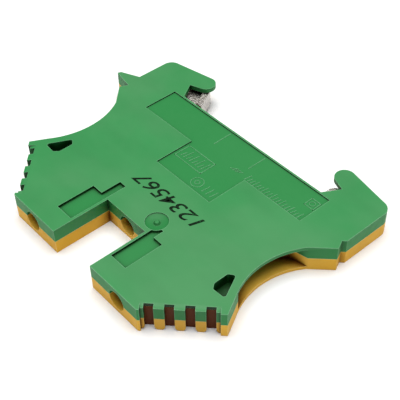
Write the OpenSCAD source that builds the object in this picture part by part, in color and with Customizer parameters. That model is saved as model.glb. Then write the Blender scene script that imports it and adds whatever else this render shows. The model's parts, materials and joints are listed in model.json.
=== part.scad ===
// Screw-clamp earth terminal block for a 35 mm mounting rail.
//
// The block lies on its yellow face. Each piece is drawn with X along the block from its middle
// line, Y from the surface that meets the rail towards the rail, and Z from the yellow face.
// "Height" below means the distance from the rail surface out to the screw side, so a height of
// h is drawn at y = -h. Every piece is then moved alike, so that the origin is in the middle of
// the block's length and height, on its yellow face.

/* [Block] */
// Thickness of the block, which is its pitch along the rail
block_t = 5.1; // [5:0.1:6.2]
// Height of the leg ends, where the clamp screws are reached
front_h = 38.2; // [31:0.1:46]
// Half the length of the block across its leg ends
leg_x = 16.4; // [15:0.1:20]
// Half the length of the block across its shoulders
shoulder_x = 26.2; // [23:0.1:30]
// Distance from the leg ends down to the shoulders
shoulder_drop = 9.4; // [7:0.1:12]
// Width of the valley between the two legs
valley_w = 9.9; // [8:0.1:12]
// Depth of the valley
valley_depth = 10.9; // [8:0.1:13]
// Thickness of the two large faces
face_t = 0.65; // [0.6:0.05:0.8]

/* [Combs] */
// Notches in each comb
notch_count = 4; // [2:1:4]
// Width of a notch
notch_w = 1.5; // [1:0.1:2]
// Depth of a notch behind the line of the comb's corners
notch_depth = 1.3; // [1:0.05:1.6]
// Distance from one notch to the next
notch_pitch = 3.12; // [2.6:0.02:3.3]
// Place of the first notch along the comb
notch_first = 1.75; // [1.5:0.05:2.2]
// How far the middle teeth stand back from the comb's corners
tooth_inset = 0.45; // [0:0.05:0.6]
// Fall of the bevel on top of the comb
comb_bevel = 0.25; // [0.1:0.05:0.4]
// Thickness of the yellow tongue behind the notches
tongue_t = 0.7; // [0.5:0.05:1]
// Chamfer on the lower corners of the teeth
tooth_chamfer = 0.35; // [0.2:0.05:0.5]

/* [Wire entries] */
// Radius of the bay at each wire entry
bay_r = 14; // [11.5:0.5:17]
// Half the length of the block at the bottom of the bays
bay_x = 22.4; // [20:0.1:23]
// Height of the middle of a bay
bay_h = 18.3; // [16:0.1:20]
// Width of the mouth between the two faces
mouth_w = 13.4; // [10:0.1:14]

/* [Rail foot] */
// Width of the mounting rail
rail_w = 35; // [35:1:35]
// Thickness of the rail's flanges
flange_t = 1; // [0.8:0.1:1.5]
// Half the length of the block across its foot
foot_x = 27.95; // [25:0.05:31]
// Half the distance between the two hook tips
hook_x = 15.9; // [15.5:0.1:17]
// Radius of a hook tip
hook_r = 1.85; // [1.5:0.05:2]
// Half the distance between the two shorter hook tips of the yellow shell
short_hook_x = 18.3; // [18:0.1:18.6]
// Thickness of the faces beside the claws
hook_plate_t = 0.9; // [0.8:0.05:1]
// How far the hooks reach past the rail surface
hook_reach = 7.55; // [7:0.05:9]
// Slope of the foot's outer edges, in degrees
foot_slope = 11.3; // [5:0.1:15]
// Radius of the foot's outer corners
foot_r = 2; // [1:0.1:3]
// Depth of the rail slot beside the edge of the rail
slot_depth = 1.9; // [1.5:0.1:2.2]
// Reach of the release lug on the left-hand side
lug_reach = 3.95; // [3:0.05:5]

/* [Screws] */
// Thread diameter of the three screws
screw_d = 2.5; // [2:0.1:2.6]
// Thread pitch
screw_pitch = 0.45; // [0.4:0.05:0.5]
// Diameter of the screw heads
head_d = 3.8; // [3.2:0.1:3.8]
// Height of the screw heads
head_h = 1.7; // [1.2:0.1:2]
// Width of the screwdriver slot
blade_w = 0.7; // [0.5:0.05:0.9]
// Diameter of the screwdriver shafts in the housing
driver_d = 3.6; // [3:0.1:3.6]

/* [Wire clamps] */
// Distance of a clamp screw from the middle line
clamp_x = 11.4; // [10.5:0.1:12]
// Length of a clamp yoke along the wire
yoke_w = 5; // [4:0.1:5.4]
// Largest wire thickness that an open clamp takes
wire_gap = 2.7; // [2.2:0.1:3]
// Turns of the clamp screw from open to closed
clamp_turns = 4.75; // [3:0.25:5]
// Thickness of the yoke's threaded web
web_t = 2.2; // [1.8:0.1:2.6]
// Thickness of the yoke's wire bed
bed_t = 1.1; // [0.9:0.1:1.4]
// Thickness of the yoke's side walls
yoke_wall = 0.45; // [0.4:0.05:0.5]

/* [Current bar] */
// Height of the current bar's underside
bar_h = 20; // [19.5:0.1:21]
// Thickness of the current bar
bar_t = 1.2; // [1:0.1:1.5]
// Half the length of the current bar
bar_x = 15.2; // [14.5:0.1:16]
// Thickness of the contact plate that stands on the rail
plate_t = 1; // [0.8:0.1:1.1]

/* [Rail clamp] */
// Thickness of the rail clamp's steel strip
strip_t = 1.2; // [1:0.1:1.4]
// Turns of the mounting screw from clamped to released
release_turns = 1.25; // [0.75:0.25:1.5]
// Distance from the middle line to the tip of the long claw, on the left
long_tip_x = 13.9; // [13.8:0.1:15]
// Lean of the long claw's nose, in degrees
long_lean = 30; // [10:1:32]
// Distance from the middle line to the tip of the short claw, on the right
short_tip_x = 17; // [16.6:0.1:17.1]
// How far the short claw reaches past the rail surface
short_reach = 4.1; // [3.5:0.1:4.5]
// Thickness of the web that stiffens the long claw
claw_web_t = 2.3; // [0.8:0.1:2.6]
// Thickness of the nut
nut_t = 2.2; // [1.8:0.1:2.4]

/* [Face details] */
// Depth of the shallow panel above the rail
panel_depth = 0.2; // [0.1:0.05:0.3]
// Depth of the pockets beside the valley
pocket_depth = 0.45; // [0.2:0.05:0.6]
// Depth of the three-sided sockets behind the combs
socket_depth = 2; // [1:0.1:2.2]
// Radius of the round gate mark
gate_r = 2; // [1.5:0.1:2.4]

/* [Fits] */
// Clearance beside a moving piece
gap = 0.3; // [0.2:0.05:0.4]
// Clearance between the moving pieces and the two faces
face_gap = 0.1; // [0.08:0.01:0.12]
// Clearance between a yoke and the bar and screw inside it
yoke_gap = 0.1; // [0.08:0.01:0.12]
// Radial clearance of a screw in its thread
thread_gap = 0.05; // [0.03:0.01:0.08]
// Clearance between fixed pieces
seat_gap = 0.05; // [0.02:0.01:0.1]

/* [Hidden] */
$fn = 48;
past = 1;                                    // how far a cut runs past a surface
inside = 0.995;                              // straight edges stop just inside the arcs they meet

GREEN = [0.27, 0.62, 0.36];
YELLOW = [0.86, 0.64, 0.22];
TINNED = [0.78, 0.75, 0.70];
STEEL = [0.66, 0.65, 0.63];

// Levels through the thickness
split_z = block_t / 2;                       // where the two shells meet, and every screw axis
inner_w = block_t - 2 * face_t;              // room between the two faces
part_w = inner_w - 2 * face_gap;             // widest piece that fits in it
part_lo = split_z - part_w / 2;
part_hi = split_z + part_w / 2;
plate_lo = part_hi - plate_t;                // the contact plate lies against the green face
cross_w = plate_lo - gap - hook_plate_t - face_gap; // the rail clamp's crossbar passes below it

// Heights above the rail
shoulder_h = front_h - shoulder_drop;
valley_h = front_h - valley_depth;
bar_top_h = bar_h + bar_t;
chamber_d = head_d + 0.2;

// Wire clamps, drawn open
travel = clamp_turns * screw_pitch;
bed_h = bar_h - wire_gap;                    // inner face of the wire bed
web_h = bar_top_h + gap;                     // lower face of the threaded web
head_seat_h = web_h + web_t + travel + gap;  // lower face of the clamp screw's head
window_w = part_w - 2 * yoke_wall;
bar_end_w = window_w - 2 * yoke_gap;
yoke_room_x = yoke_w / 2 + gap;

// Foot
seat_x = rail_w / 2 + 0.05;                  // end of the surface that meets the rail
slot_x = rail_w / 2 + slot_depth;
slot_y = 3.1;
lean = [sin(foot_slope), cos(foot_slope)];
corner = under_edge(foot_x - foot_r, foot_r);
barb = [foot_x + 0.15, -7.2];
barb_notch = [foot_x - 0.6, -5.6];
lug_end = foot_x + lug_reach;
bay_end_h = bay_h - mouth_w / 2 - 1;         // the bay turns straight here, towards the barb
bay_end = [bay_x + bay_r - sqrt(pow(bay_r, 2) - pow(bay_h - bay_end_h, 2)), -bay_end_h];

// Combs
comb_run = [shoulder_x - leg_x, shoulder_drop];
comb_len = norm(comb_run);
comb_angle = atan2(comb_run[1], comb_run[0]);
post_w = 0.45;                               // corner post beside the legs
end_post_w = 1.05;                           // corner post beside the bays
bevel_end = notch_depth + 0.2;               // distance of the bevel's inner edge from the corners
sliver = 0.001;                              // lets the bevel cut cleanly through the face

// Pegs that join the shells, on the right-hand side
peg_r = 0.8;
peg_len = 1.3;
pegs = [[7.3, -front_h + 1.9], [17.6, -shoulder_h + 1.6], [7.4, -valley_h + 3], [10.5, -10.6],
        [20, -9.4], [24.6, 1.2]];

// Rail clamp, drawn clamped
release = release_turns * screw_pitch;
arm_in = slot_x + 0.1;
arm_out = arm_in + strip_t;
claw_end_y = flange_t + 0.1;                 // tips of the claws, behind the rail's flanges
cross_top_h = 6.4;
cross_low_h = cross_top_h - strip_t;
nut_w = 4.8;
nut_low_h = cross_low_h - nut_t;
screw_end_h = nut_low_h - 0.6;
claw_lo = hook_plate_t + face_gap;
claw_hi = block_t - claw_lo;
foot_wall_t = 1.2;                           // wall between the rail surface and the clamp's room
edge_wall_t = 0.4;                           // wall around the claws' room
short_claw_hi = claw_hi - 0.4;
open_x = hook_x + hook_r;                    // the hooks are only a face inside this
room_x = arm_out + gap;
room_h = cross_top_h + gap;

// Contact plate
plate_slot_x = nut_w / 2 + gap;
plate_leg_x = plate_slot_x + 3.3;
plate_foot_h = 3.2;
plate_tie_h = nut_low_h - release - gap;     // the strip that ties the feet below the nut
tab_w = 1.4;
tab_x = plate_slot_x + 1;

// Direction square to the line from a to b, on its right-hand side
function outward(a, b) = [b[1] - a[1], a[0] - b[0]] / norm(b - a);

// The foot's outer edge, the claws' room under it and the long claw's back, at a distance x from
// the middle line
function edge_y(x) = hook_reach + hook_r * (1 / cos(foot_slope) - 1)
    - tan(foot_slope) * (x - hook_x - hook_r);
function room_y(x) = edge_y(x) - edge_wall_t;
function back_y(x) = room_y(x) - gap / 2 - release;

// Middle of an arc of radius r that touches the foot's outer edge
function under_edge(x, r) = [x, edge_y(x) - r / cos(foot_slope)];

// Middle of an arc of radius r that rounds the corner c between the lines to a and to b
function round_middle(a, c, b, r) =
    let (u = (a - c) / norm(a - c), v = (b - c) / norm(b - c))
    c + (u + v) / norm(u + v) * r / sqrt((1 - u * v) / 2);

module both_sides() {
    children();
    mirror([1, 0, 0]) children();
}

module slab(z0, z1) {
    translate([0, 0, z0]) linear_extrude(z1 - z0) children();
}

// Convex shape with rounded corners, from the middles of its corner arcs in counter-clockwise order
module rounded(middles, r) {
    n = len(middles);
    polygon([for (i = [0 : n - 1]) for (k = [-1, 0])
        middles[i] + inside * r * outward(middles[(i + n + k) % n], middles[(i + k + 1) % n])]);
    for (m = middles) translate(m) circle(r = r);
}

// A bore or shaft along Y, from one height to a greater one
module along_y(x, h0, h1, d) {
    translate([x, -h0, split_z]) rotate([90, 0, 0]) cylinder(d = d, h = h1 - h0);
}

// ---- Outline -------------------------------------------------------------------------

module half_outline(hook_x) {
    tip = under_edge(hook_x + hook_r, hook_r);
    difference() {
        polygon([
            [0, -front_h], [leg_x, -front_h], [shoulder_x, -shoulder_h],
            [shoulder_x - 2.7, -shoulder_h + 5], [shoulder_x, -bay_h],
            [shoulder_x, -bay_end_h + past / 2], [0, -bay_end_h + past / 2]
        ]);
        translate([bay_x + bay_r, -bay_h]) circle(r = bay_r);
    }
    polygon([
        [0, -bay_end_h - past], barb + 1.3 * (bay_end - barb), barb, barb_notch,
        [foot_x, barb_notch[1] + 0.6], [corner[0] + inside * foot_r, corner[1]],
        corner + inside * foot_r * lean, tip + inside * hook_r * lean, tip,
        tip + inside * hook_r * [-sin(20), -cos(20)], [slot_x, slot_y], [seat_x, 0], [0, 0]
    ]);
    translate(corner) circle(r = foot_r);
    translate(tip) circle(r = hook_r);
}

module release_lug() {
    polygon([
        [-barb_notch[0], barb_notch[1]], [-lug_end, -4.7], [-lug_end + 0.25, -4.05],
        [-foot_x, -2.4], [-foot_x + 2, -2.4]
    ]);
}

module outline(hook_x) {
    difference() {
        both_sides() half_outline(hook_x);
        translate([-valley_w / 2, -front_h - past]) square([valley_w, valley_depth + past]);
    }
    release_lug();
}

// ---- Combs ---------------------------------------------------------------------------

// Places its children on each comb: X along it, Y into the block, from the leg's corner
module on_combs() {
    both_sides() translate([leg_x, -front_h, 0]) rotate(comb_angle) children();
}

module comb_cuts() {
    on_combs() {
        translate([post_w, -past]) square([comb_len - post_w - end_post_w, past + tooth_inset]);
        for (i = [0 : notch_count - 1])
            translate([notch_first + i * notch_pitch - notch_w / 2, -past])
                square([notch_w, past + notch_depth]);
    }
}

module comb_bevels() {
    on_combs() translate([post_w, 0]) rotate([90, 0, 90])
        linear_extrude(comb_len - post_w - end_post_w) polygon([
            [bevel_end, block_t - sliver], [0, block_t - comb_bevel], [-past, block_t - comb_bevel],
            [-past, block_t + past], [bevel_end, block_t + past]
        ]);
}

// Chamfers beside the lower end of each notch
module notch_chamfers() {
    half_w = notch_w / 2;
    on_combs() for (i = [0 : notch_count - 1])
        translate([notch_first + i * notch_pitch, notch_depth, 0]) rotate([90, 0, 0])
            linear_extrude(notch_depth + past) polygon([
                [-half_w - tooth_chamfer, 0], [-half_w - tooth_chamfer, -past],
                [half_w + tooth_chamfer, -past], [half_w + tooth_chamfer, 0],
                [half_w, 1.5 * tooth_chamfer], [-half_w, 1.5 * tooth_chamfer]
            ]);
}

// The yellow wall that shows through the notches in the green shell
module tongues(play) {
    margin = 0.7 - play;
    slab(split_z - play, block_t - face_t - (play > 0 ? 0 : seat_gap))
        on_combs() translate([margin, notch_depth - play])
            square([comb_len - 2 * margin, tongue_t + 2 * play]);
}

// ---- Room inside the housing ---------------------------------------------------------

module clamp_room() {
    slab(face_t, block_t - face_t)
        translate([clamp_x - yoke_room_x, -head_seat_h + seat_gap])
            square([2 * yoke_room_x, head_seat_h - bed_h + bed_t + gap]);
    along_y(clamp_x, head_seat_h - past, head_seat_h + head_h + gap, chamber_d);
    along_y(clamp_x, head_seat_h, front_h + past, driver_d);
}

// The wire's way in, widening from the clamp to the bay
module wire_mouth() {
    room_end = clamp_x + yoke_room_x;
    wire_h = bar_h - wire_gap / 2;
    throat = wire_gap + 0.1;
    slab(face_t, block_t - face_t)
        polygon([
            [room_end - past, -wire_h - throat / 2], [room_end + 3.6, -wire_h - throat / 2 - 0.2],
            [bay_x - 1.2, -bay_h - mouth_w / 2 + 2.6], [bay_x + 2, -bay_h - mouth_w / 2],
            [bay_x + bay_r, -bay_h - mouth_w / 2], [bay_x + bay_r, bay_end[1] + 2.6],
            bay_end + [0, 0.12], [bay_x - 1, bay_end[1] - 0.6],
            [room_end + 3.6, -wire_h + throat / 2 + 0.8], [room_end - past, -wire_h + throat / 2]
        ]);
}

module bar_room() {
    slab(face_t, block_t - face_t)
        translate([-bar_x - seat_gap, -bar_top_h - seat_gap])
            square([2 * (bar_x + seat_gap), bar_t + 2 * seat_gap]);
}

module mounting_room() {
    along_y(0, bar_h, bar_top_h + head_h + gap, chamber_d);
    along_y(0, bar_h, front_h, driver_d);
    slab(split_z, block_t - face_t)
        translate([-plate_leg_x - seat_gap, -bar_h])
            square([2 * (plate_leg_x + seat_gap), bar_h - room_h + past]);
    along_y(0, room_h - past, bar_h + past, screw_d + 2 * gap);
}

// The hollow foot holds the rail clamp and opens around the rail's edges
module foot_room() {
    slab(face_t, block_t - face_t)
        translate([-seat_x - seat_gap, -room_h]) square([2 * (seat_x + seat_gap), room_h + past]);
    slab(hook_plate_t, block_t - hook_plate_t) both_sides() {
        polygon([
            [0, -room_h], [room_x, -room_h], [room_x, room_y(room_x)], [0, room_y(0)]
        ]);
        square([open_x, hook_reach + past]);
    }
}

module rooms() {
    both_sides() {
        clamp_room();
        wire_mouth();
    }
    bar_room();
    mounting_room();
    foot_room();
}

// ---- Pegs and marks ------------------------------------------------------------------

module on_pegs() {
    both_sides() for (p = pegs) translate([p[0], p[1], split_z - peg_len]) children();
}

// Shallow panel in the green face, above the rail
module panel() {
    panel_rim = 0.35;
    slab(block_t - panel_depth, block_t + past) {
        translate([-19.8, -7.35]) square([39.6, 7.35 - panel_rim]);
        translate([-6.85, -15.3]) square([13.7, 8]);
    }
}

// Shallow pockets on both sides of the valley, with the gate mark between them
module pockets() {
    pocket_x = valley_w / 2 + 0.45;
    low_y = -valley_h - 7.1;
    gate = [4.45, -valley_h + 2.85];
    slab(block_t - pocket_depth, block_t + past) difference() {
        union() {
            translate([-pocket_x - 3.8, low_y]) square([3.8, 7.3]);
            translate([-pocket_x - 1.5, low_y + 7]) square([1.5, 4.2]);
            translate([pocket_x, low_y]) square([3.6, 7.3]);
            translate([pocket_x, low_y + 7]) square([1.5, 2.3]);
        }
        translate(gate) circle(r = gate_r + 0.1);
    }
    gate_mark(gate);
}

// Round dish with the short stub left by the moulding gate
module gate_mark(place) {
    rim = 0.15;
    dish = 0.35;
    dish_r = (pow(gate_r, 2) + pow(dish, 2)) / (2 * dish);
    translate([place[0], place[1], block_t - rim]) difference() {
        union() {
            cylinder(r = gate_r, h = past);
            intersection() {
                translate([0, 0, dish_r - dish]) sphere(r = dish_r);
                translate([0, 0, -dish]) cylinder(r = gate_r, h = dish + rim / 2);
            }
        }
        translate([0, 0, -dish - rim]) cylinder(r1 = 0.8, r2 = 0.3, h = dish + rim);
    }
}

// Three-sided blind sockets with rounded corners, tied to the shoulders
module sockets() {
    out_x = shoulder_x - 3.2;
    low_y = -shoulder_h + 2.05;
    slab(block_t - socket_depth, block_t + past) both_sides() rounded([
        [out_x - 1.7, low_y], [out_x, low_y + 0.1], [out_x - 1.7, low_y + 3.4],
        [out_x - 2.2, low_y + 3], [out_x - 2.2, low_y + 0.6]
    ], 0.4);
}

// ---- Sub-parts -----------------------------------------------------------------------

module housing_green() {
    color(GREEN) {
        difference() {
            slab(split_z, block_t) difference() {
                outline(hook_x);
                comb_cuts();
            }
            rooms();
            tongues(seat_gap);
            comb_bevels();
            panel();
            pockets();
            sockets();
        }
        on_pegs() cylinder(r = peg_r, h = peg_len + past / 2);
    }
}

module housing_yellow() {
    color(YELLOW) {
        difference() {
            slab(0, split_z) difference() {
                outline(short_hook_x);
                comb_cuts();
            }
            notch_chamfers();
            rooms();
            on_pegs() translate([0, 0, -seat_gap]) cylinder(r = peg_r + seat_gap / 2, h = block_t);
        }
        tongues(0);
        slab(face_t, split_z) both_sides() translate([0, -foot_wall_t]) square([seat_x, foot_wall_t]);
        slab(split_z, plate_lo) both_sides()
            translate([plate_slot_x + 0.5, -bar_h + 2]) square([2.3, bar_h - room_h - 3]);
    }
}

module current_bar() {
    neck_x = clamp_x - yoke_room_x;
    color(TINNED) difference() {
        union() {
            translate([-bar_x, -bar_top_h, split_z - bar_end_w / 2]) cube([2 * bar_x, bar_t, bar_end_w]);
            translate([-neck_x, -bar_top_h, part_lo]) cube([2 * neck_x, bar_t, part_w]);
        }
        along_y(0, bar_h - past, bar_top_h + past, screw_d + 0.2);
        both_sides() translate([tab_x - seat_gap, -bar_top_h - past, plate_lo - seat_gap])
            cube([tab_w + 2 * seat_gap, bar_t + 2 * past, plate_t + past]);
        both_sides() grip_grooves(-bar_h);
    }
}

// Cross grooves that grip the wire, cut into a face at y
module grip_grooves(y) {
    for (i = [-1 : 1])
        translate([clamp_x + i * 1.2, y, split_z]) rotate(45)
            cube([0.35, 0.35, block_t], center = true);
}

module contact_plate() {
    color(TINNED) slab(plate_lo, part_hi) both_sides() {
        translate([plate_slot_x, -bar_h]) square([plate_leg_x - plate_slot_x, bar_h]);
        translate([tab_x, -bar_top_h]) square([tab_w, bar_t + past]);
        translate([plate_slot_x, -plate_foot_h]) square([seat_x - plate_slot_x, plate_foot_h]);
        translate([0, -plate_tie_h]) square([plate_slot_x + past, plate_tie_h]);
    }
}

// Yoke for the right-hand clamp
module clamp_yoke() {
    color(STEEL) difference() {
        translate([clamp_x - yoke_w / 2, -web_h - web_t, part_lo])
            cube([yoke_w, web_h + web_t - bed_h + bed_t, part_w]);
        translate([clamp_x - yoke_w, -web_h, split_z - window_w / 2])
            cube([2 * yoke_w, web_h - bed_h, window_w]);
        along_y(clamp_x, web_h - past, web_h + web_t + past, screw_d + 2 * thread_gap);
        translate([clamp_x - yoke_w, -web_h - web_t / 2, part_lo - past])
            cube([yoke_w, 0.12, part_w + 2 * past]);
        grip_grooves(-bed_h);
    }
}

// Slotted screw along Z: the head lies below z = 0 and the shank above it
module slotted_screw(shank) {
    chamfer = 0.25;
    difference() {
        union() {
            translate([0, 0, -head_h]) cylinder(d1 = head_d - 2 * chamfer, d2 = head_d, h = chamfer);
            translate([0, 0, chamfer - head_h]) cylinder(d = head_d, h = head_h - chamfer);
            cylinder(d = screw_d, h = shank - chamfer);
            translate([0, 0, shank - chamfer])
                cylinder(d1 = screw_d, d2 = screw_d - 2 * chamfer, h = chamfer);
        }
        translate([-head_d, -blade_w / 2, -head_h - past]) cube([2 * head_d, blade_w, past + 0.9]);
    }
}

module screw_at(x, seat_h, end_h) {
    color(STEEL) translate([x, -seat_h, split_z]) rotate([-90, 0, 0])
        slotted_screw(seat_h - end_h);
}

// Filled profile of one claw, on the right-hand side: its back runs from the arm to a rounded
// corner, and its nose from there to the tip
module filled_claw(back, corner, tip, r) {
    middle = round_middle(back, corner, tip, r);
    nose_out = outward(corner, tip);
    polygon([
        [arm_out, -cross_top_h], back, middle + inside * r * outward(back, corner),
        middle + inside * r * nose_out, tip, tip - [strip_t / nose_out[0], 0], [arm_in, -cross_top_h]
    ]);
    translate(middle) circle(r = r);
}

// The same profile as a bent strip
module claw(back, corner, tip, r) {
    middle = round_middle(back, corner, tip, r);
    back_out = outward(back, corner);
    nose_out = outward(corner, tip);
    tip_in = tip - [strip_t / nose_out[0], 0];
    root = [arm_in, -cross_top_h];
    inner_back = back - strip_t * back_out;
    difference() {
        filled_claw(back, corner, tip, r);
        polygon([
            root - [0, past], [arm_in, inner_back[1] + (arm_out - arm_in) * back_out[0]],
            middle + inside * (r - strip_t) * back_out, middle + inside * (r - strip_t) * nose_out,
            tip_in + past * (tip - corner) / norm(tip - corner)
        ]);
        translate(middle) circle(r = r - strip_t);
    }
}

module rail_clamp() {
    long_h = back_y(open_x) - claw_end_y;
    long_corner_x = long_tip_x + long_h * tan(long_lean);
    back = [arm_out, back_y(arm_out)];
    corner = [long_corner_x, back_y(long_corner_x)];
    tip = [long_tip_x, claw_end_y];
    color(STEEL) {
        slab(claw_lo, claw_hi) mirror([1, 0, 0]) claw(back, corner, tip, 2.2);
        slab(claw_lo, claw_lo + claw_web_t) mirror([1, 0, 0]) intersection() {
            filled_claw(back, corner, tip, 2.2);
            translate([0, claw_end_y + gap]) square([arm_out + past, hook_reach]);
        }
        slab(claw_lo, short_claw_hi)
            claw([arm_out, short_reach], [short_tip_x, short_reach], [short_tip_x, claw_end_y], 1.6);
        difference() {
            union() {
                translate([-arm_in - past / 2, -cross_top_h, claw_lo])
                    cube([2 * arm_in + past, strip_t, cross_w]);
                translate([-nut_w / 2, -cross_top_h, claw_lo]) cube([nut_w, strip_t, claw_hi - claw_lo]);
            }
            along_y(0, 0, bar_h, screw_d + 0.3);
        }
    }
}

module clamp_nut() {
    color(STEEL) difference() {
        translate([-nut_w / 2, -cross_low_h, part_lo]) cube([nut_w, nut_t, part_w]);
        along_y(0, 0, bar_h, screw_d + 2 * thread_gap);
    }
}

module clamp_yoke_left() { mirror([1, 0, 0]) clamp_yoke(); }
module clamp_yoke_right() { clamp_yoke(); }
module clamp_screw_left() { screw_at(-clamp_x, head_seat_h, bar_top_h + seat_gap); }
module clamp_screw_right() { screw_at(clamp_x, head_seat_h, bar_top_h + seat_gap); }
module mounting_screw() { screw_at(0, bar_top_h + seat_gap, screw_end_h); }

// Moves a piece so that the origin is in the middle of the block's length and height
module placed() {
    translate([(lug_end - barb[0]) / 2, (front_h - hook_reach) / 2, 0]) children();
}

placed() housing_green();
placed() housing_yellow();
placed() current_bar();
placed() contact_plate();
placed() clamp_yoke_left();
placed() clamp_yoke_right();
placed() clamp_screw_left();
placed() clamp_screw_right();
placed() mounting_screw();
placed() rail_clamp();
placed() clamp_nut();
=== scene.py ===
"""Looks of a screw-clamp earth terminal block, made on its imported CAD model.

Lengths named _MM are in millimetres. Places on the green face are measured from the middle line
of the block (x) and from the surface that meets the rail (y), as in the CAD source.
"""
import json
import math

import bmesh
import bpy
from mathutils import Matrix, Vector

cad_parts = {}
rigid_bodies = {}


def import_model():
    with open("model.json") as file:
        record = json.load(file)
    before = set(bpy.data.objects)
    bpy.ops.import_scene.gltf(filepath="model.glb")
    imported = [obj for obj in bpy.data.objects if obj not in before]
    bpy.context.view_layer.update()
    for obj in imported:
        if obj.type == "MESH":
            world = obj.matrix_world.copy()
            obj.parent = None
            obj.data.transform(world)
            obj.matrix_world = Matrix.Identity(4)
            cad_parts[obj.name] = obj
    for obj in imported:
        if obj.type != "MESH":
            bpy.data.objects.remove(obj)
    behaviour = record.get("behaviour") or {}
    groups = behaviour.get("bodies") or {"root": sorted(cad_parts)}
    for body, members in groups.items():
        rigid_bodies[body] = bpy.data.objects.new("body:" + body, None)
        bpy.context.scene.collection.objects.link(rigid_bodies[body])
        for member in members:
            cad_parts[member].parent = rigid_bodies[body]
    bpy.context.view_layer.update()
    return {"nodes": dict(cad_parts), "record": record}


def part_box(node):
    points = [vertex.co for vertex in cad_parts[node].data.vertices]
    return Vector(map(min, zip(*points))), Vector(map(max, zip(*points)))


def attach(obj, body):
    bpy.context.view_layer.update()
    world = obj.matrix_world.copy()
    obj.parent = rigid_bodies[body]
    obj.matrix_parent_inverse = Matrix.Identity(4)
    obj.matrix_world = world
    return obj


MM = 0.001

# ---- Camera ---------------------------------------------------------------------------
CAMERA_AZIMUTH = 49.97
CAMERA_ELEVATION = 44.35
CAMERA_ROLL = -1.53
CAMERA_DISTANCE_MM = 153.8
CAMERA_LENS = 79.92
CAMERA_TARGET_MM = (3.356, 2.596, 0)

# ---- Finish ---------------------------------------------------------------------------
GREEN = (0.034, 0.260, 0.073)
GREEN_PALE = (0.062, 0.272, 0.094)
# Darker green below the top face: the recessed panel's own tone, and painted shade on the faces
# beneath it.
GREEN_LOW_TONE_AND_SHADE = (0.014, 0.215, 0.046)
# Green for faint streaks, and mostly for the painted shade in corners, driver holes and notches.
GREEN_STREAK_AND_SHADE = (0.000, 0.032, 0.002)
# Painted highlight along the green's edges.
GREEN_EDGE_HIGHLIGHT = (0.210, 0.480, 0.265)
GREEN_GLOSS = 0.24
YELLOW = (0.78, 0.42, 0.030)
YELLOW_PALE = (0.84, 0.49, 0.065)
# Painted shade on the yellow above the split between the shells, as seen in the comb notches.
YELLOW_UPPER_SHADE = (0.050, 0.009, 0.000)
# Yellow for faint streaks, and mostly for the painted shade in corners, driver holes and notches.
YELLOW_STREAK_AND_SHADE = (0.105, 0.022, 0.000)
# Painted highlight along the yellow's edges.
YELLOW_EDGE_HIGHLIGHT = (0.900, 0.640, 0.220)
YELLOW_GLOSS = 0.12
INK = (0.001, 0.009, 0.002)
STEEL = (0.52, 0.49, 0.46)
STEEL_DULL = (0.30, 0.26, 0.22)
ZINC = (0.58, 0.58, 0.59)
TIN = (0.62, 0.59, 0.54)
COPPER = (0.62, 0.33, 0.20)
PAPER = ((0.93, 0.93, 0.93), (0.95, 0.95, 0.95))

COMB_FROM_MM = (16.4, -38.2)    # corner of the right-hand leg, where its comb starts
COMB_TO_MM = (26.2, -28.8)      # shoulder, where the comb ends
NOTCH_MM = 1.3                  # depth of the comb's notches

EDGE_MM = 0.11                  # rounding of the moulded edges
METAL_EDGE_MM = 0.06            # rounding of the sheared and machined edges
EDGE_HIGHLIGHT_MM = 0.2                 # width of the painted highlight along an edge
BORE_SHADE_MM = 4                     # how far the painted shade in the driver holes reaches
CREVICE_SHADE_MM = 2.4                # how far the painted shade in a corner reaches

# ---- Marks on the green face ----------------------------------------------------------
PANEL_DEPTH_MM = 0.2
MARK_HEIGHT_MM = 0.08
MARK_ROOT_MM = 0.02             # how far a rib's foot lies below the face it stands on
RIB_MM = 0.2
RIB_TOP_SHARE = 0.55            # width of a rib's top as a share of its foot
RING_STEPS = 40
DIGITS = "1234567"
DIGITS_AT_MM = (1.6, -19.95)
DIGITS_SIZE_MM = (16.2, 2.65)
DIGITS_LEAN = 0.25
DIGITS_WEIGHT = 0.008           # how much the strokes are thickened, in the font's own units
DRAFT_HALF = 0.004              # half the thickness of the letters before they are scaled
INK_MM = 0.012                  # thickness of the ink

# ---- Stage ----------------------------------------------------------------------------
FLOOR_HALF = 1.5
FLOOR_DROP_MM = 0.02            # keeps the floor clear of the block's flat underside
SKY_STRENGTH = 0.17
SUN_STRENGTH = 3.5
SUN_AZIMUTH = 215
SUN_ELEVATION = 86
SUN_SPREAD = 60


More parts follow.
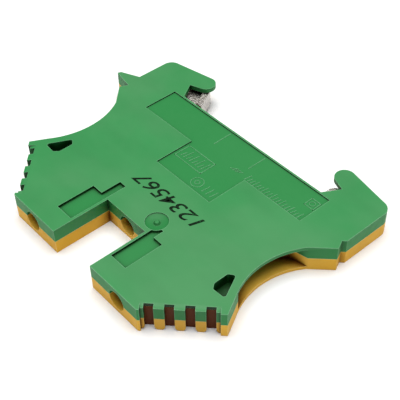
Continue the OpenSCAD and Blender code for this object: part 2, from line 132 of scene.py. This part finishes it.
# ---- Node helpers ---------------------------------------------------------------------
class Nodes:
    """Short names for building one material's nodes."""

    def __init__(self, name):
        self.material = bpy.data.materials.new(name)
        self.material.use_nodes = True
        self.tree = self.material.node_tree
        self.shader = self.tree.nodes["Principled BSDF"]
        self.place = self.add("ShaderNodeTexCoord").outputs["Object"]

    def add(self, kind, **settings):
        node = self.tree.nodes.new(kind)
        for key, value in settings.items():
            setattr(node, key, value)
        return node

    def link(self, start, end):
        self.tree.links.new(start, end)

    def stretched(self, scale):
        """The object's own coordinates, stretched by scale along X, Y and Z."""
        node = self.add("ShaderNodeMapping")
        self.link(self.place, node.inputs["Vector"])
        node.inputs["Scale"].default_value = scale
        return node.outputs["Vector"]

    def noise(self, size_mm, detail=2.0, place=None, rough=0.5):
        """Noise whose spots are about size_mm across."""
        node = self.add("ShaderNodeTexNoise")
        self.link(place or self.place, node.inputs["Vector"])
        node.inputs["Scale"].default_value = 1 / (size_mm * MM)
        node.inputs["Detail"].default_value = detail
        node.inputs["Roughness"].default_value = rough
        return node.outputs["Fac"]

    def spread(self, value, low, high, to_low=0.0, to_high=1.0):
        """value stretched from low..high to to_low..to_high, and held at those ends."""
        node = self.add("ShaderNodeMapRange", clamp=True)
        self.link(value, node.inputs["Value"])
        ends = {"From Min": low, "From Max": high, "To Min": to_low, "To Max": to_high}
        for key, number in ends.items():
            node.inputs[key].default_value = number
        return node.outputs["Result"]

    def mix(self, share, first, second):
        """Colour from first, at share 0, to second, at share 1."""
        node = self.add("ShaderNodeMix", data_type="RGBA")
        self.link(share, node.inputs["Factor"])
        for socket, colour in ((node.inputs["A"], first), (node.inputs["B"], second)):
            if isinstance(colour, tuple):
                socket.default_value = (*colour, 1)
            else:
                self.link(colour, socket)
        return node.outputs["Result"]

    def open_share(self, reach_mm, alone=True):
        """0 deep in a corner, 1 in the open. alone leaves out the other pieces."""
        node = self.add("ShaderNodeAmbientOcclusion", samples=8, only_local=alone)
        node.inputs["Distance"].default_value = reach_mm * MM
        return node.outputs["AO"]

    def maths(self, operation, first, second=None):
        node = self.add("ShaderNodeMath", operation=operation)
        for socket, value in zip(node.inputs, (first, second)):
            if isinstance(value, (int, float)):
                socket.default_value = value
            elif value is not None:
                self.link(value, socket)
        return node.outputs["Value"]

    def notch_shade(self, seat):
        """1 at the back of the comb notches, where shade is painted, and 0 outside them."""
        start, end = (Vector((*corner, 0)) * MM for corner in (COMB_FROM_MM, COMB_TO_MM))
        along = (end - start).normalized()
        inward = Vector((-along.y, along.x, 0))
        parts = self.add("ShaderNodeSeparateXYZ")
        self.link(self.place, parts.inputs["Vector"])
        x = self.maths("ABSOLUTE", self.maths("SUBTRACT", parts.outputs["X"], seat.x))
        y = self.maths("SUBTRACT", parts.outputs["Y"], seat.y)

        def reach(way):
            across = self.maths("MULTIPLY", x, way.x)
            moved = self.maths("ADD", across, self.maths("MULTIPLY", y, way.y))
            return self.maths("SUBTRACT", moved, way.dot(start))

        depth, run = reach(inward), reach(along)
        length = (end - start).length
        full = NOTCH_MM * MM
        shares = (self.spread(depth, 0.15 * full, 0.9 * full),
                  self.maths("LESS_THAN", depth, 1.25 * full),
                  self.maths("GREATER_THAN", run, 0.04 * length),
                  self.maths("LESS_THAN", run, 0.93 * length))
        total = self.spread(self.facing_up(), 0.3, 0.6, 1, 0)
        for share in shares:
            total = self.maths("MULTIPLY", total, share)
        return total

    def facing_up(self):
        """1 on faces that look straight up or down, 0 on upright ones."""
        parts = self.add("ShaderNodeSeparateXYZ")
        self.link(self.add("ShaderNodeNewGeometry").outputs["Normal"], parts.inputs["Vector"])
        return self.maths("ABSOLUTE", parts.outputs["Z"])

    def edge_share(self, reach_mm):
        """1 on an edge and 0 on the flat beside it."""
        rounded = self.add("ShaderNodeBevel", samples=6)
        rounded.inputs["Radius"].default_value = reach_mm * MM
        turn = self.add("ShaderNodeVectorMath", operation="DOT_PRODUCT")
        self.link(rounded.outputs["Normal"], turn.inputs[0])
        self.link(self.add("ShaderNodeNewGeometry").outputs["Normal"], turn.inputs[1])
        return self.spread(turn.outputs["Value"], 0.80, 0.99, 1, 0)

    def bump(self, *layers):
        """Each layer is (height, depth in millimetres)."""
        normal = None
        for height, depth_mm in layers:
            node = self.add("ShaderNodeBump")
            self.link(height, node.inputs["Height"])
            node.inputs["Strength"].default_value = 1.0
            node.inputs["Distance"].default_value = depth_mm * MM
            if normal:
                self.link(normal, node.inputs["Normal"])
            normal = node.outputs["Normal"]
        self.link(normal, self.shader.inputs["Normal"])


# ---- Materials ------------------------------------------------------------------------
def moulded_plastic(name, colour, pale, deep, edge_highlight_colour, gloss, level_tone_and_shade, level_tone_and_shade_share, levels, seat):
    """Satin polyamide: slow colour drift and fine mould grain, painted edge highlights and painted
    shade in hollows.

    Between the two heights in levels the colour changes from level_tone_and_shade (painted shade,
    with the green panel's own darker tone) to the plain one, or back.
    """
    n = Nodes(name)
    drift = n.spread(n.noise(16, 3), 0.35, 0.65)
    streaks = n.spread(n.noise(5, 2, n.stretched((0.35, 1, 1))), 0.3, 0.7)
    body = n.mix(drift, colour, pale)
    tinted = n.mix(n.spread(streaks, 0, 1, 0, 0.10), body, deep)
    # Painted shade past the levels: below the top face on the green, where the panel also keeps
    # its own darker tone, and above the split on the yellow.
    height = n.add("ShaderNodeSeparateXYZ")
    n.link(n.place, height.inputs["Vector"])
    low = n.spread(height.outputs["Z"], levels[0], levels[1], level_tone_and_shade_share, 0.0)
    # Painted highlight: a paler line along the edges, broken up by noise.
    highlight_breakup = n.spread(n.noise(1.5, 3), 0.3, 0.6, 0.55, 1.0)
    edge_highlight = n.maths("MULTIPLY", n.edge_share(EDGE_HIGHLIGHT_MM), highlight_breakup)
    shaded = n.mix(edge_highlight, n.mix(low, tinted, level_tone_and_shade), edge_highlight_colour)
    # Painted shade in corners, in the driver holes and at the backs of the comb notches.
    corner_shade = n.spread(n.open_share(CREVICE_SHADE_MM), 0.52, 0.94, 1.0, 0.0)
    bore_shade = n.spread(n.open_share(BORE_SHADE_MM, alone=False), 0.12, 0.48, 1.0, 0.0)
    dark = n.maths("MAXIMUM", n.maths("MAXIMUM", corner_shade, bore_shade), n.notch_shade(seat))
    n.link(n.mix(dark, shaded, deep), n.shader.inputs["Base Color"])
    n.link(n.spread(n.noise(1.2, 3), 0.3, 0.7, 0.42, 0.54), n.shader.inputs["Roughness"])
    n.bump((n.noise(0.22, 2), 0.006), (n.noise(7, 1), 0.05))
    n.shader.inputs["IOR"].default_value = 1.5
    n.shader.inputs["Specular IOR Level"].default_value = gloss
    return n.material


def plated_metal(name, colour, dull, rough, along=(1, 1, 1), sheared=0.0):
    """Plated metal with draw lines and painted shade in its corners; sheared is how rough its flat
    cut faces (up and down) are.
    """
    n = Nodes(name)
    n.shader.inputs["Metallic"].default_value = 1.0
    lines = n.noise(0.35, 4, n.stretched(along), 0.6)
    patches = n.spread(n.noise(1.6, 3), 0.35, 0.7)
    body = n.mix(n.spread(patches, 0, 1, 0, 0.45), colour, dull)
    cut = n.spread(n.facing_up(), 0.75, 0.95, 0.0, sheared)
    grain = n.noise(0.55, 5, None, 0.7)
    torn = n.mix(n.spread(grain, 0.42, 0.58), dull, colour)
    face = n.mix(cut, body, torn)
    # Painted shade: corners darkened towards a dark copy of the dull colour.
    corner_shade = n.spread(n.open_share(1.2), 0.1, 0.5, 0.5, 0.0)
    dark = tuple(0.4 * part for part in dull)
    n.link(n.mix(corner_shade, face, dark), n.shader.inputs["Base Color"])
    n.link(n.spread(lines, 0.3, 0.7, rough - 0.06, rough + 0.08), n.shader.inputs["Roughness"])
    n.bump((lines, 0.012), (n.maths("MULTIPLY", grain, cut), 0.16))
    return n.material


def jet_ink(name):
    """Thin dark printing ink, a little uneven where its drops met."""
    n = Nodes(name)
    pale = tuple(0.35 * part for part in GREEN)
    n.link(n.mix(n.spread(n.noise(0.45, 3), 0.55, 0.75), INK, pale), n.shader.inputs["Base Color"])
    n.link(n.spread(n.noise(0.3, 2), 0.3, 0.7, 0.5, 0.65), n.shader.inputs["Roughness"])
    n.bump((n.noise(0.3, 2), 0.004))
    n.shader.inputs["Specular IOR Level"].default_value = 0.1
    return n.material


def floor_paper(name):
    n = Nodes(name)
    n.link(n.mix(n.noise(400, 1), *PAPER), n.shader.inputs["Base Color"])
    n.shader.inputs["Roughness"].default_value = 0.9
    n.shader.inputs["Specular IOR Level"].default_value = 0.0
    return n.material


# ---- Mesh helpers ---------------------------------------------------------------------
def show(name, data):
    """A new object in the scene."""
    thing = bpy.data.objects.new(name, data)
    bpy.context.scene.collection.objects.link(thing)
    return thing


def housing_piece(name, mesh, material):
    """A mesh as a new piece of one material that rides on the housing."""
    mesh.materials.clear()
    mesh.materials.append(material)
    piece = show(name, mesh)
    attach(piece, "housing")
    return piece


def add_rib(shape, start, end, z):
    """A low moulded rib with sloping sides, between two points on the face, in metres."""
    along = (end - start).normalized()
    side = Vector((-along.y, along.x, 0))
    foot = RIB_MM * MM / 2
    top = foot * RIB_TOP_SHARE
    rings = []
    for half, level in ((foot, z - MARK_ROOT_MM * MM), (top, z + MARK_HEIGHT_MM * MM)):
        corners = []
        for place, reach in ((start, -half), (end, half)):
            for hand in ((-1, 1) if reach < 0 else (1, -1)):
                corner = place + along * reach + side * half * hand
                corners.append(shape.verts.new((corner.x, corner.y, level)))
        rings.append(corners)
    low, high = rings
    shape.faces.new(high)
    shape.faces.new(low[::-1])
    for i in range(4):
        j = (i + 1) % 4
        shape.faces.new((low[i], low[j], high[j], high[i]))


def add_loop(shape, points, z):
    """Ribs round a closed outline."""
    for i, point in enumerate(points):
        add_rib(shape, point, points[(i + 1) % len(points)], z)


def add_ring(shape, centre, radius, z):
    """A round moulded rib with sloping sides."""
    sections = ((-RIB_MM / 2, -MARK_ROOT_MM), (-RIB_MM / 4, MARK_HEIGHT_MM),
                (RIB_MM / 4, MARK_HEIGHT_MM), (RIB_MM / 2, -MARK_ROOT_MM))
    rings = []
    for i in range(RING_STEPS):
        turn = 2 * math.pi * i / RING_STEPS
        out = Vector((math.cos(turn), math.sin(turn), 0))
        ring = []
        for off, up in sections:
            corner = centre + out * (radius + off * MM) + Vector((0, 0, z + up * MM))
            ring.append(shape.verts.new(corner))
        rings.append(ring)
    for i, ring in enumerate(rings):
        after = rings[(i + 1) % RING_STEPS]
        for k in range(4):
            m = (k + 1) % 4
            shape.faces.new((ring[k], after[k], after[m], ring[m]))


# ---- The object -----------------------------------------------------------------------
def seat_place(frame):
    """The point on the middle line at the rail surface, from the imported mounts."""
    for mount in frame["record"]["mounts"]:
        if mount["name"] == "rail_seat":
            return Vector((mount["pos_m"][0], mount["pos_m"][1], 0))


def finish_node(node, material, edge_mm):
    """Gives a CAD node its material and softly rounded edges."""
    node.data.materials.clear()
    node.data.materials.append(material)
    weld = node.modifiers.new("weld", "WELD")
    weld.merge_threshold = 0.0005 * MM
    flat = node.modifiers.new("flat", "DECIMATE")
    flat.decimate_type = "DISSOLVE"
    flat.angle_limit = math.radians(0.5)
    bevel = node.modifiers.new("edges", "BEVEL")
    bevel.width = edge_mm * MM
    bevel.segments = 2
    bevel.limit_method = "ANGLE"
    bevel.angle_limit = math.radians(35)
    bevel.miter_outer = "MITER_ARC"
    node.data.shade_smooth()
    shade = node.modifiers.new("shade", "WEIGHTED_NORMAL")
    shade.weight = 100
    shade.keep_sharp = False


def printed_digits(seat, top, material):
    """A plain row of digits in jet ink, read from the rail side."""
    words = bpy.data.curves.new("printed_digits", "FONT")
    words.body = DIGITS
    words.align_x = "CENTER"
    words.align_y = "CENTER"
    words.shear = DIGITS_LEAN
    words.offset = DIGITS_WEIGHT
    words.extrude = DRAFT_HALF
    draft = show("draft", words)
    bpy.context.view_layer.update()
    mesh = bpy.data.meshes.new_from_object(draft)
    bpy.data.objects.remove(draft)
    xs = [v.co.x for v in mesh.vertices]
    ys = [v.co.y for v in mesh.vertices]
    wide, tall = max(xs) - min(xs), max(ys) - min(ys)
    middle = Vector(((max(xs) + min(xs)) / 2, (max(ys) + min(ys)) / 2, 0))
    size = Matrix.Diagonal((DIGITS_SIZE_MM[0] * MM / wide, DIGITS_SIZE_MM[1] * MM / tall,
                            INK_MM * MM / (2 * DRAFT_HALF), 1))
    place = seat + Vector((DIGITS_AT_MM[0], DIGITS_AT_MM[1], 0)) * MM + Vector((0, 0, top))
    mesh.transform(Matrix.Translation(place) @ Matrix.Rotation(math.pi, 4, "Z") @ size
                   @ Matrix.Translation(-middle))
    housing_piece("printed_digits", mesh, material)


def panel_marks(seat, top, material):
    """Plain raised marks in the panel: dividing lines, a plaque, a ring, a scale and a square."""
    z = top - PANEL_DEPTH_MM * MM

    def at(x, y):
        return seat + Vector((x, y, 0)) * MM

    def rectangle(x0, y0, x1, y1):
        return [at(x0, y0), at(x1, y0), at(x1, y1), at(x0, y1)]

    def fill(shape):
        for x in (-3.7, 5.13):
            add_rib(shape, at(x, -4.75), at(x, -0.85), z)
        add_loop(shape, rectangle(-6.2, -11.7, 0.5, -8.3), z)
        for i in range(8):
            x = -5.4 + 0.73 * i
            add_rib(shape, at(x, -11), at(x + 0.3, -9.9 + 0.9 * (i % 2)), z)
        add_ring(shape, at(1.8, -13.5), 1.15 * MM, z)
        add_ring(shape, at(1.8, -13.5), 0.45 * MM, z)
        for x in (3.9, 4.9, 5.9):
            add_rib(shape, at(x, -14.3), at(x + 0.2, -12.7), z)
        for i in range(3):
            add_rib(shape, at(2.9 + 0.6 * i, -6.9), at(4.1 + 0.6 * i, -6.2), z)
        for i in range(19):
            x = 6.6 + 0.68 * i
            low, high = (-7.05, -6.1) if i % 3 else (-7.1, -5.7)
            add_rib(shape, at(x, low), at(x + 0.25, high), z)
        add_loop(shape, rectangle(17.5, -3.9, 19.4, -2), z)
        add_ring(shape, at(18.45, -2.95), 0.5 * MM, z)

    shape = bmesh.new()
    fill(shape)
    bmesh.ops.recalc_face_normals(shape, faces=shape.faces)
    mesh = bpy.data.meshes.new("panel_marks")
    shape.to_mesh(mesh)
    shape.free()
    housing_piece("panel_marks", mesh, material)


# ---- Stage ----------------------------------------------------------------------------
def way_towards(azimuth, elevation):
    """Unit vector to what stands at that azimuth and elevation, in degrees; azimuth 0 is -Y."""
    a, e = math.radians(azimuth), math.radians(elevation)
    return Vector((math.sin(a) * math.cos(e), -math.cos(a) * math.cos(e), math.sin(e)))


def make_camera():
    roll = math.radians(CAMERA_ROLL)
    back = way_towards(CAMERA_AZIMUTH, CAMERA_ELEVATION)
    right = (-back).cross(Vector((0, 0, 1))).normalized()
    up = right.cross(-back)
    side = right * math.cos(roll) + up * math.sin(roll)
    top = -right * math.sin(roll) + up * math.cos(roll)
    camera = show("camera", bpy.data.cameras.new("camera"))
    camera.data.sensor_width = 36
    camera.data.lens = CAMERA_LENS
    camera.data.clip_start = 0.005
    camera.data.clip_end = 20
    turn = Matrix((side, top, back)).transposed().to_4x4()
    eye = Vector(CAMERA_TARGET_MM) * MM + back * CAMERA_DISTANCE_MM * MM
    camera.matrix_world = Matrix.Translation(eye) @ turn
    bpy.context.scene.camera = camera


def make_floor():
    half = FLOOR_HALF
    outline = ((-half, -half), (half, -half), (half, half), (-half, half))
    corners = [(x, y, -FLOOR_DROP_MM * MM) for x, y in outline]
    mesh = bpy.data.meshes.new("floor")
    mesh.from_pydata(corners, [], [(0, 1, 2, 3)])
    mesh.materials.append(floor_paper("floor_paper"))
    show("floor", mesh)


def make_light():
    """White surroundings and one wide, soft sun, almost overhead."""
    sun = bpy.data.lights.new("key", "SUN")
    sun.energy = SUN_STRENGTH
    sun.angle = math.radians(SUN_SPREAD)
    lamp = show("key", sun)
    lamp.rotation_mode = "QUATERNION"
    lamp.rotation_quaternion = way_towards(SUN_AZIMUTH, SUN_ELEVATION).to_track_quat("Z", "Y")
    world = bpy.data.worlds.new("studio")
    bpy.context.scene.world = world
    world.use_nodes = True
    sky = world.node_tree.nodes["Background"]
    sky.inputs["Color"].default_value = (1, 1, 1, 1)
    sky.inputs["Strength"].default_value = SKY_STRENGTH
    bpy.context.scene.view_settings.view_transform = "Standard"
    bpy.context.scene.view_settings.look = "None"


def main():
    for thing in list(bpy.data.objects):
        bpy.data.objects.remove(thing)
    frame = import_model()
    nodes = frame["nodes"]

    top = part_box("housing_green")[1].z
    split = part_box("mounting_screw")[0].z / 2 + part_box("mounting_screw")[1].z / 2
    seat = seat_place(frame)
    panel = PANEL_DEPTH_MM * MM
    green = moulded_plastic("green_plastic", GREEN, GREEN_PALE, GREEN_STREAK_AND_SHADE, GREEN_EDGE_HIGHLIGHT, GREEN_GLOSS,
                            GREEN_LOW_TONE_AND_SHADE, 0.8, (top - 0.9 * panel, top - 0.4 * panel), seat)
    yellow = moulded_plastic("yellow_plastic", YELLOW, YELLOW_PALE, YELLOW_STREAK_AND_SHADE, YELLOW_EDGE_HIGHLIGHT,
                             YELLOW_GLOSS, YELLOW_UPPER_SHADE, 1.0,
                             (split + 0.15 * MM, split + 0.03 * MM), seat)
    clamp = plated_metal("clamp_steel", STEEL, STEEL_DULL, 0.34, (1, 1, 0.3), 0.9)
    zinc = plated_metal("zinc_steel", ZINC, STEEL_DULL, 0.32, (1, 0.25, 1), 0.2)
    screw = plated_metal("screw_steel", ZINC, STEEL_DULL, 0.28, (1, 3, 1))
    tin = plated_metal("tinned_copper", TIN, COPPER, 0.30, (0.2, 1, 1), 0.3)
    looks = {
        "housing_green": (green, EDGE_MM), "housing_yellow": (yellow, EDGE_MM),
        "rail_clamp": (clamp, METAL_EDGE_MM), "clamp_nut": (zinc, METAL_EDGE_MM),
        "clamp_yoke_left": (zinc, METAL_EDGE_MM), "clamp_yoke_right": (zinc, METAL_EDGE_MM),
        "clamp_screw_left": (screw, METAL_EDGE_MM), "clamp_screw_right": (screw, METAL_EDGE_MM),
        "mounting_screw": (screw, METAL_EDGE_MM),
        "current_bar": (tin, METAL_EDGE_MM), "contact_plate": (tin, METAL_EDGE_MM),
    }
    for name, (material, edge_mm) in looks.items():
        finish_node(nodes[name], material, edge_mm)

    printed_digits(seat, top, jet_ink("jet_ink"))
    panel_marks(seat, top, green)

    make_camera()
    make_floor()
    make_light()


main()
